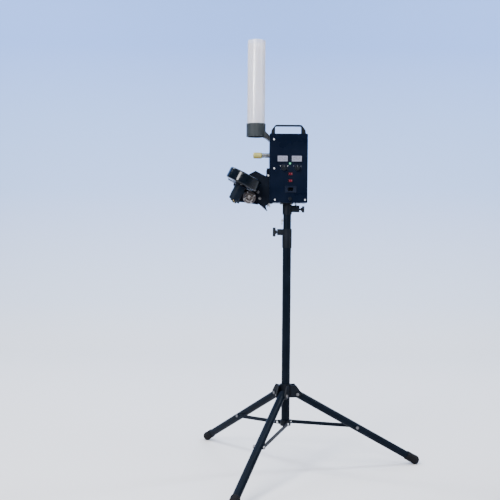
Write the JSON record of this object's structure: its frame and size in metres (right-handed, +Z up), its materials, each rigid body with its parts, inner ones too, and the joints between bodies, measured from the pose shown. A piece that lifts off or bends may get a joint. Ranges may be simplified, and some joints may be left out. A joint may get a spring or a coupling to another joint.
{
  "type": "baseball pitching machine",
  "caption": "Two-wheel baseball pitching machine: control box, clear feed tube and tilting launcher on a folding tripod with a telescopic mast.",
  "frame": {"origin": "the mast's axis where it meets the floor that the three feet stand on", "axes": "+Z up along the mast; the ball is thrown towards -X and up; the control panel faces -Y"},
  "size_m": [1.0152, 1.0814, 1.908],
  "materials": {
    "black_paint": "satin powder coat",
    "moulded_black": "fine texture",
    "cup_grey": "moulded",
    "foot_rubber": "matte",
    "wheel_rubber": "ground smooth",
    "zinc_plate": "bright zinc",
    "motor_black": "satin",
    "gear_silver": "turned",
    "steel_bar": "ground",
    "cast_aluminium": "machined",
    "white_nylon": "machined",
    "bumper_yellow": "moulded",
    "switch_red": "gloss",
    "display_grey": "clear window",
    "light_green": "lens",
    "board_green": "solder mask",
    "clear_acrylic": "clear"
  },
  "bodies": {
    "lower_mast": {"lower_mast_tube": "black_paint", "mast_collar": "moulded_black", "mast_guide_bush": "white_nylon", "strut_ring": "moulded_black", "strut_ring_pins": "zinc_plate"},
    "collar_screw": {"collar_clamp_knob": "moulded_black"},
    "hub": {"leg_hub": "moulded_black", "leg_hub_bolts": "zinc_plate"},
    "right_leg": {"right_leg": "black_paint", "right_foot": "foot_rubber", "right_strut_nut": "zinc_plate"},
    "right_strut": {"right_strut": "black_paint", "right_strut_bolt": "zinc_plate"},
    "left_leg": {"left_leg": "black_paint", "left_foot": "foot_rubber", "left_strut_nut": "zinc_plate"},
    "left_strut": {"left_strut": "black_paint", "left_strut_bolt": "zinc_plate"},
    "front_leg": {"front_leg": "black_paint", "front_foot": "foot_rubber", "front_strut_nut": "zinc_plate"},
    "front_strut": {"front_strut": "black_paint", "front_strut_bolt": "zinc_plate"},
    "upper_mast": {"upper_mast_tube": "black_paint"},
    "lock_pin": {"height_lock_pin": "zinc_plate"},
    "head": {"head_socket": "moulded_black", "housing_shell": "black_paint", "front_panel": "black_paint", "housing_screws": "zinc_plate", "carry_handle": "black_paint", "speed_meters": "moulded_black", "meter_windows": "display_grey", "speed_potentiometers": "moulded_black", "power_light": "light_green", "switch_bodies": "moulded_black", "power_inlet": "moulded_black", "fuse_holder": "moulded_black", "control_board": "board_green", "power_supply": "zinc_plate", "gate_actuator": "gear_silver", "gate_rod_bush": "white_nylon", "tube_cup": "cup_grey", "launcher_bracket": "black_paint"},
    "socket_screw": {"socket_clamp_knob": "moulded_black"},
    "speed_knob_1": {"speed_knob_1": "moulded_black"},
    "speed_knob_2": {"speed_knob_2": "moulded_black"},
    "rocker_1": {"rocker_switch_1": "switch_red"},
    "rocker_2": {"rocker_switch_2": "switch_red"},
    "gate": {"gate_rod": "steel_bar", "gate_tip": "bumper_yellow"},
    "ball_tube": {"ball_tube": "clear_acrylic"},
    "launcher": {"launcher_cradle": "black_paint", "tilt_bolts": "zinc_plate", "wheel_motors": "motor_black", "kicker_motor": "gear_silver"},
    "near_wheel": {"near_wheel_tyre": "wheel_rubber", "near_wheel_hub": "cast_aluminium"},
    "far_wheel": {"far_wheel_tyre": "wheel_rubber", "far_wheel_hub": "cast_aluminium"},
    "kicker": {"kicker_arm": "steel_bar"}
  },
  "joints": [
    {"name": "collar_screw_turn", "type": "hinge", "parent": "lower_mast", "child": "collar_screw", "pos_m": [-0.05, 0, 1.061], "axis": [-1, 0, 0], "range_deg": [0, 360]},
    {"name": "hub_slide", "type": "slide", "parent": "lower_mast", "child": "hub", "axis": [0, 0, 1], "range_m": [0, 0.49005]},
    {"name": "right_leg_fold", "type": "hinge", "parent": "hub", "child": "right_leg", "pos_m": [0.04951, 0.00696, 0.337], "axis": [-0.1392, 0.9903, 0], "range_deg": [0, 59.36]},
    {"name": "right_strut_fold", "type": "hinge", "parent": "lower_mast", "child": "right_strut", "pos_m": [0.02501, 0.02321, 0.207], "axis": [0.1392, -0.9903, 0], "range_deg": [0, 90.22]},
    {"name": "left_leg_fold", "type": "hinge", "parent": "hub", "child": "left_leg", "pos_m": [-0.03078, 0.0394, 0.337], "axis": [-0.788, -0.6157, 0], "range_deg": [0, 59.36]},
    {"name": "left_strut_fold", "type": "hinge", "parent": "lower_mast", "child": "left_strut", "pos_m": [-0.03261, 0.01006, 0.207], "axis": [0.788, 0.6157, 0], "range_deg": [0, 90.22]},
    {"name": "front_leg_fold", "type": "hinge", "parent": "hub", "child": "front_leg", "pos_m": [-0.01873, -0.04636, 0.337], "axis": [0.9272, -0.3746, 0], "range_deg": [0, 59.36]},
    {"name": "front_strut_fold", "type": "hinge", "parent": "lower_mast", "child": "front_strut", "pos_m": [0.00759, -0.03327, 0.207], "axis": [-0.9272, 0.3746, 0], "range_deg": [0, 90.22]},
    {"name": "mast_height", "type": "slide", "parent": "lower_mast", "child": "upper_mast", "axis": [0, 0, 1], "range_m": [-0.015, 0.45]},
    {"name": "lock_pin_pull", "type": "slide", "parent": "upper_mast", "child": "lock_pin", "axis": [-1, 0, 0], "range_m": [0, 0.05]},
    {"name": "head_pan", "type": "hinge", "parent": "upper_mast", "child": "head", "pos_m": [0, 0, 1.18], "axis": [0, 0, 1], "range_deg": [-180, 180]},
    {"name": "socket_screw_turn", "type": "hinge", "parent": "head", "child": "socket_screw", "pos_m": [0.06, 0, 1.163], "axis": [1, 0, 0], "range_deg": [0, 360]},
    {"name": "speed_knob_1_turn", "type": "hinge", "parent": "head", "child": "speed_knob_1", "pos_m": [-0.018, -0.06, 1.343], "axis": [0, -1, 0], "range_deg": [-140, 140]},
    {"name": "speed_knob_2_turn", "type": "hinge", "parent": "head", "child": "speed_knob_2", "pos_m": [0.04, -0.06, 1.343], "axis": [0, -1, 0], "range_deg": [-140, 140]},
    {"name": "rocker_1_tip", "type": "hinge", "parent": "head", "child": "rocker_1", "pos_m": [0.01, -0.055, 1.317], "axis": [0, 0, 1], "range_deg": [-14, 0]},
    {"name": "rocker_2_tip", "type": "hinge", "parent": "head", "child": "rocker_2", "pos_m": [0.01, -0.055, 1.287], "axis": [0, 0, 1], "range_deg": [-14, 0]},
    {"name": "gate_slide", "type": "slide", "parent": "head", "child": "gate", "axis": [1, 0, 0], "range_m": [0, 0.055]},
    {"name": "tube_lift_out", "type": "slide", "parent": "head", "child": "ball_tube", "axis": [0, 0, 1], "range_m": [0, 0.06]},
    {"name": "launcher_tilt", "type": "hinge", "parent": "head", "child": "launcher", "pos_m": [-0.1228, 0, 1.2086], "axis": [0, 1, 0], "range_deg": [-15, 5]},
    {"name": "near_wheel_spin", "type": "hinge", "parent": "launcher", "child": "near_wheel", "pos_m": [-0.193, -0.105, 1.2875], "axis": [0.454, 0, 0.891], "continuous": true},
    {"name": "far_wheel_spin", "type": "hinge", "parent": "launcher", "child": "far_wheel", "pos_m": [-0.193, 0.105, 1.2875], "axis": [0.454, 0, 0.891], "continuous": true},
    {"name": "kicker_turn", "type": "hinge", "parent": "launcher", "child": "kicker", "pos_m": [-0.16964, 0, 1.21219], "axis": [0, 1, 0], "continuous": true}
  ],
  "couplings": [
    {"joint": "right_leg_fold", "follows": "hub_slide", "rad_per_m": 2.1124},
    {"joint": "right_strut_fold", "follows": "hub_slide", "rad_per_m": 3.2116},
    {"joint": "left_leg_fold", "follows": "hub_slide", "rad_per_m": 2.1124},
    {"joint": "left_strut_fold", "follows": "hub_slide", "rad_per_m": 3.2116},
    {"joint": "front_leg_fold", "follows": "hub_slide", "rad_per_m": 2.1124},
    {"joint": "front_strut_fold", "follows": "hub_slide", "rad_per_m": 3.2116}
  ]
}
